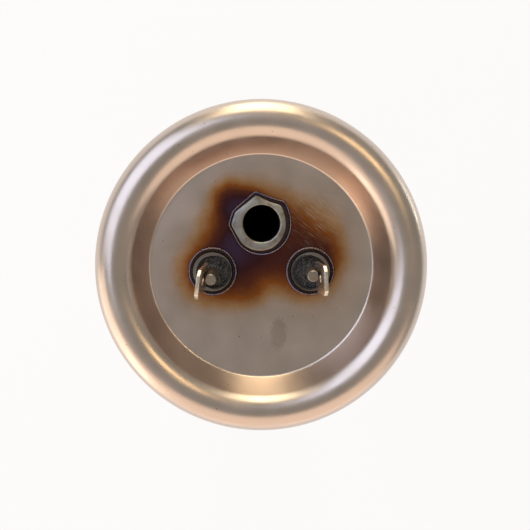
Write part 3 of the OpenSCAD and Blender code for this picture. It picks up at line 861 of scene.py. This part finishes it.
class HEATER_OT_seals(Operator):
    """Build the lumpy resin seals in both mouths of the tube"""

    bl_idname = "heater.seals"
    bl_label = "Seals"

    # Direction in which the resin ran over the mouth, how wide it spread, and how lumpy it set
    POURS = {"left": (-10, 95, 1.0), "right": (200, 120, 0.7)}

    def execute(self, context):
        resin = sealing_resin()
        for side, (heading, breadth, lumpiness) in self.POURS.items():
            low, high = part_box(f"end_seal_{side}")
            x, y = LEG[side].x, LEG[side].y
            bore = (high.x - low.x) / 2 / MM
            floor, level, mouth = low.z / MM, high.z / MM, top("heater_sheath")
            pin, steps = 1.2, 144
            rows = 34
            rings = [[] for _ in range(rows + 1)]
            for i in range(steps):
                a = 2 * math.pi * i / steps
                turn = (math.degrees(a) - heading + 180) % 360 - 180
                over = max(0.0, 1 - (turn / breadth) ** 2) ** 0.6
                ragged = 0.12 * noise.noise(Vector((3 * math.cos(a), 3 * math.sin(a), 5.0 + SIDES[side])))
                reach = bore - 0.02 + over * (0.72 + ragged)
                for j in range(rows + 1):
                    t = j / rows
                    r = pin + (reach - pin) * t
                    p = Vector((r * math.cos(a), r * math.sin(a), 7.0 * SIDES[side]))
                    lumps = noise.noise(p * 1.25) * 0.30 + abs(noise.noise(p * 2.6)) * 0.30 + noise.noise(p * 5.2) * 0.09
                    base = level - 0.5 * math.sin(math.pi * min(1.0, t * 1.05)) * (1 - 0.7 * over)
                    rise = over * 0.55 * t ** 1.5
                    edge = math.sqrt(max(0.0, 1 - max(0.0, (t - 0.9) / 0.1) ** 2))
                    z = base + (rise + lumpiness * lumps * math.sin(math.pi * min(1, 0.12 + t * 0.83))) * (0.4 + 0.6 * edge)
                    if r > bore - 0.05:
                        z = max(z, mouth + 0.02 + 0.2 * edge * over)
                    rings[j].append((x + p.x, y + p.y, z))
            last = [Vector(p) for p in rings[-1]]
            lip = [(p.x, p.y, mouth + 0.01 if (p.xy - Vector((x, y))).length > bore else p.z - 0.15) for p in last]
            rings += [lip, circle(x, y, mouth - 0.05, bore - 0.02, steps), circle(x, y, floor, bore - 0.02, steps), circle(x, y, floor, pin, steps)]
            stands_for(ringed(f"seal_{side}", rings, closed=True), f"end_seal_{side}", "seal_resin", resin)
        return {"FINISHED"}


class HEATER_OT_pins(Operator):
    """Finish the terminal pins"""

    bl_idname = "heater.pins"
    bl_label = "Pins"

    def execute(self, context):
        steel = pin_steel()
        for side in SIDES:
            finish_node(f"terminal_pin_{side}", steel)
        return {"FINISHED"}


class HEATER_OT_blades(Operator):
    """Build the quick-connect blades with their lead-in and latch hole"""

    bl_idname = "heater.blades"
    bl_label = "Blades"

    # Lean of the pin, turn of the blade, both in degrees, and the blade's place across the pin in mm
    STANCE = {"left": (7.5, 8.0, -0.9), "right": (2.0, 2.5, -0.8)}

    def execute(self, context):
        s = context.scene.heater_terminals
        plated = plated_blade()
        for side, stance in self.STANCE.items():
            bm = self.flat_blade(s)
            self.bend(bm, s)
            bm.transform(self.on_pin(side, stance, s))
            bmesh.ops.recalc_face_normals(bm, faces=bm.faces)
            stands_for(placed(f"blade_{side}", bm, 25), f"tab_{side}", "tab_plated", plated)
        return {"FINISHED"}

    @staticmethod
    def flat_blade(s):
        """Flat blade with its latch hole and beveled edges, standing in the YZ plane."""
        half, low, high, cut = s.blade_width / 2, s.blade_foot, s.blade_tip, s.corner_bevel
        outline = [(-half, low), (half, low), (half, high - cut), (half - cut, high), (cut - half, high), (-half, high - cut)]
        hole = [(s.latch_hole / 2 * math.cos(2 * math.pi * i / 40), high - s.latch_drop + s.latch_hole / 2 * math.sin(2 * math.pi * i / 40)) for i in range(40)]
        bm = bmesh.new()
        for loop in (outline, hole):
            verts = [bm.verts.new((0, y, z)) for y, z in loop]
            for i, v in enumerate(verts):
                bm.edges.new((v, verts[(i + 1) % len(verts)]))
        bmesh.ops.triangle_fill(bm, use_beauty=True, edges=bm.edges[:])
        swept = bmesh.ops.extrude_face_region(bm, geom=bm.faces[:])["geom"]
        bmesh.ops.translate(bm, verts=[g for g in swept if isinstance(g, bmesh.types.BMVert)], vec=(s.blade_thickness, 0, 0))
        bmesh.ops.recalc_face_normals(bm, faces=bm.faces)
        edges = [e for e in bm.edges if len(e.link_faces) == 2 and e.calc_face_angle() > math.radians(30)]
        bmesh.ops.bevel(bm, geom=edges, offset=s.edge_bevel, segments=2, profile=0.5, affect="EDGES")
        return bm

    @staticmethod
    def bend(bm, s):
        """Leans the blade outwards above its foot, over a short curve."""
        for step in (-0.4, -0.2, 0, 0.2, 0.4):
            geometry = bm.verts[:] + bm.edges[:] + bm.faces[:]
            bmesh.ops.bisect_plane(bm, geom=geometry, plane_co=(0, 0, s.blade_bend + step * MM), plane_no=(0, 0, 1), dist=1e-7)
        for v in bm.verts:
            over = (v.co.z - s.blade_bend) / MM
            eased = over if over > 0.4 else 0.0 if over < -0.4 else (over + 0.4) ** 2 / 1.6
            v.co.x += eased * MM * math.tan(s.blade_lean)

    @staticmethod
    def on_pin(side, stance, s):
        """Carries an upright piece for the right pin to its place on either pin."""
        lean, turn, shift = stance
        sign = SIDES[side]
        return (
            Matrix.Translation((LEG[side].x * MM, LEG[side].y * MM, s.pivot))
            @ Matrix.Rotation(math.radians(lean), 4, "X")
            @ Matrix.Translation((0, 0, -s.pivot))
            @ Matrix.Rotation(math.radians(sign * turn), 4, "Z")
            @ Matrix.Diagonal((sign, 1, 1, 1))
            @ Matrix.Translation((s.face, shift * MM, 0))
        )


# Studio

# Soft lights: name, azimuth from +X, angle from +Z, distance, width, height, colour and brightness
LAMPS = [
    ("Back lamp", 90, 76, 1.2, 0.50, 1.10, "#FFF0CC", 3.4),
    ("Window", 150, 46, 1.2, 0.95, 1.20, "#D3E2FF", 1.5),
    ("Small warm lamp", 42, 38, 1.2, 0.32, 0.34, "#FFDFA8", 3.0),
    ("Side glint", 20, 98, 1.2, 0.36, 0.18, "#F2FFF4", 2.2),
    ("Front wall", 268, 66, 1.1, 3.00, 1.50, "#F2D8C2", 0.85),
    ("Left wall", 208, 84, 1.2, 1.00, 1.10, "#FFF0DE", 1.15),
]


class HEATER_OT_studio(Operator):
    """Set up the floor, the soft lights, the room and the camera"""

    bl_idname = "heater.studio"
    bl_label = "Studio"

    def execute(self, context):
        s = context.scene.heater_studio
        self.floor(s)
        for name, azimuth, polar, distance, width, height, colour, level in LAMPS:
            self.lamp(name, math.radians(azimuth), math.radians(polar), distance, width, height, colour, level * s.lamp_level)
        self.room(context.scene, s)
        self.camera(context.scene, s)
        context.scene.view_settings.view_transform = "Standard"
        return {"FINISHED"}

    @staticmethod
    def floor(s):
        """Pale floor under the lowest point of the tube; white to the camera and in reflections, and it keeps a soft shadow."""
        z = CAD_BOX[0].z - 0.2 * MM
        h = s.floor_size
        mesh = bpy.data.meshes.new("floor")
        mesh.from_pydata([(-h, -h, z), (h, -h, z), (h, h, z), (-h, h, z)], [], [(0, 1, 2, 3)])
        floor = bpy.data.objects.new("floor", mesh)
        bpy.context.scene.collection.objects.link(floor)
        material = bpy.data.materials.new("Pale floor")
        material.use_nodes = True
        tree = material.node_tree
        tree.nodes.clear()
        path = add(tree, "ShaderNodeLightPath").outputs
        seen = maths(tree, "MAXIMUM", path["Is Camera Ray"], maths(tree, "MAXIMUM", path["Is Glossy Ray"], path["Is Transmission Ray"]))
        paper = add(tree, "ShaderNodeBsdfDiffuse", {}, {"Color": rgb("#EFEDEA")}).outputs[0]
        white = add(tree, "ShaderNodeEmission", {}, {"Color": (1, 1, 1, 1), "Strength": 1.0}).outputs[0]
        mixed = add(tree, "ShaderNodeMixShader", {}, {0: maths(tree, "MULTIPLY", seen, 0.86), 1: paper, 2: white}).outputs[0]
        add(tree, "ShaderNodeOutputMaterial", {}, {"Surface": mixed})
        mesh.materials.append(material)

    @staticmethod
    def lamp(name, azimuth, polar, distance, width, height, colour, level):
        """Soft rectangular light that faces the flange."""
        light = bpy.data.lights.new(name, "AREA")
        light.shape = "RECTANGLE"
        light.size, light.size_y = width, height
        light.color = rgb(colour)[:3]
        light.energy = level * width * height * 4
        lamp = bpy.data.objects.new(name, light)
        away = Vector((math.cos(azimuth) * math.sin(polar), math.sin(azimuth) * math.sin(polar), math.cos(polar)))
        lamp.location = away * distance
        lamp.rotation_euler = away.to_track_quat("Z", "Y").to_euler()
        lamp.visible_camera = False
        bpy.context.scene.collection.objects.link(lamp)

    @staticmethod
    def room(scene, s):
        """World: white behind the object and below the horizon, and a dim grey room above it for light and reflections."""
        world = bpy.data.worlds.new("Room")
        world.use_nodes = True
        tree = world.node_tree
        tree.nodes.clear()
        path = add(tree, "ShaderNodeLightPath").outputs
        heading = add(tree, "ShaderNodeTexCoord").outputs["Generated"]
        height = add(tree, "ShaderNodeSeparateXYZ", {}, {0: heading}).outputs["Z"]
        mirrored = maths(tree, "MAXIMUM", path["Is Glossy Ray"], path["Is Transmission Ray"])
        below = maths(tree, "MULTIPLY", mirrored, spread(tree, height, -0.1, -0.5))
        white = maths(tree, "MAXIMUM", path["Is Camera Ray"], below)
        level = spread(tree, white, 0.0, 1.0, s.room_level, 1.0)
        colour = blended(tree, white, rgb("#F4F2EC"), (1, 1, 1, 1))
        back = add(tree, "ShaderNodeBackground", {}, {"Color": colour, "Strength": level}).outputs[0]
        add(tree, "ShaderNodeOutputWorld", {}, {"Surface": back})
        scene.world = world

    @staticmethod
    def camera(scene, s):
        """Camera at the photograph's place and angle."""
        data = bpy.data.cameras.new("Camera")
        data.lens = s.focal_length
        data.sensor_width = 36
        data.clip_start, data.clip_end = 0.01, 20
        camera = bpy.data.objects.new("Camera", data)
        camera.location = s.camera_place
        ahead = (Vector(s.camera_target) - Vector(s.camera_place)).normalized()
        right = ahead.cross(Vector((0, 1, 0))).normalized()
        turned = Matrix((right, right.cross(ahead), -ahead)).transposed()
        camera.rotation_euler = turned.to_euler()
        scene.collection.objects.link(camera)
        scene.camera = camera


class HEATER_PT_sidebar(Panel):
    """Lists the settings and the pieces"""

    bl_idname = "HEATER_PT_sidebar"
    bl_label = "Water heater element"
    bl_space_type = "VIEW_3D"
    bl_region_type = "UI"
    bl_category = "Heater"

    def draw(self, context):
        for group, title in SETTINGS.items():
            box = self.layout.box()
            box.label(text=title)
            settings = getattr(context.scene, group)
            for name in settings.__annotations__:
                box.prop(settings, name)
        for operator in OPERATORS:
            self.layout.operator(operator.bl_idname)


OPERATORS = [HEATER_OT_flange, HEATER_OT_tube, HEATER_OT_pocket, HEATER_OT_welds, HEATER_OT_seals, HEATER_OT_pins, HEATER_OT_blades, HEATER_OT_studio]
GROUPS = {"heater_flange": FlangeSizes, "heater_welds": WeldSizes, "heater_terminals": TerminalSizes, "heater_finishes": Finishes, "heater_studio": StudioSettings}
SETTINGS = {"heater_flange": "Flange", "heater_welds": "Welds", "heater_terminals": "Terminals", "heater_finishes": "Finishes", "heater_studio": "Studio"}


def register():
    for group in GROUPS.values():
        bpy.utils.register_class(group)
    for name, group in GROUPS.items():
        setattr(bpy.types.Scene, name, PointerProperty(type=group))
    for operator in OPERATORS:
        bpy.utils.register_class(operator)
    bpy.utils.register_class(HEATER_PT_sidebar)


def unregister():
    bpy.utils.unregister_class(HEATER_PT_sidebar)
    for operator in reversed(OPERATORS):
        bpy.utils.unregister_class(operator)
    for name in GROUPS:
        delattr(bpy.types.Scene, name)
    for group in reversed(GROUPS.values()):
        bpy.utils.unregister_class(group)


def main():
    """Builds every piece and the studio."""
    register()
    bpy.ops.heater.flange()
    bpy.ops.heater.tube()
    bpy.ops.heater.pocket()
    bpy.ops.heater.welds()
    bpy.ops.heater.seals()
    bpy.ops.heater.pins()
    bpy.ops.heater.blades()
    bpy.ops.heater.studio()


if __name__ == "__main__":
    main()
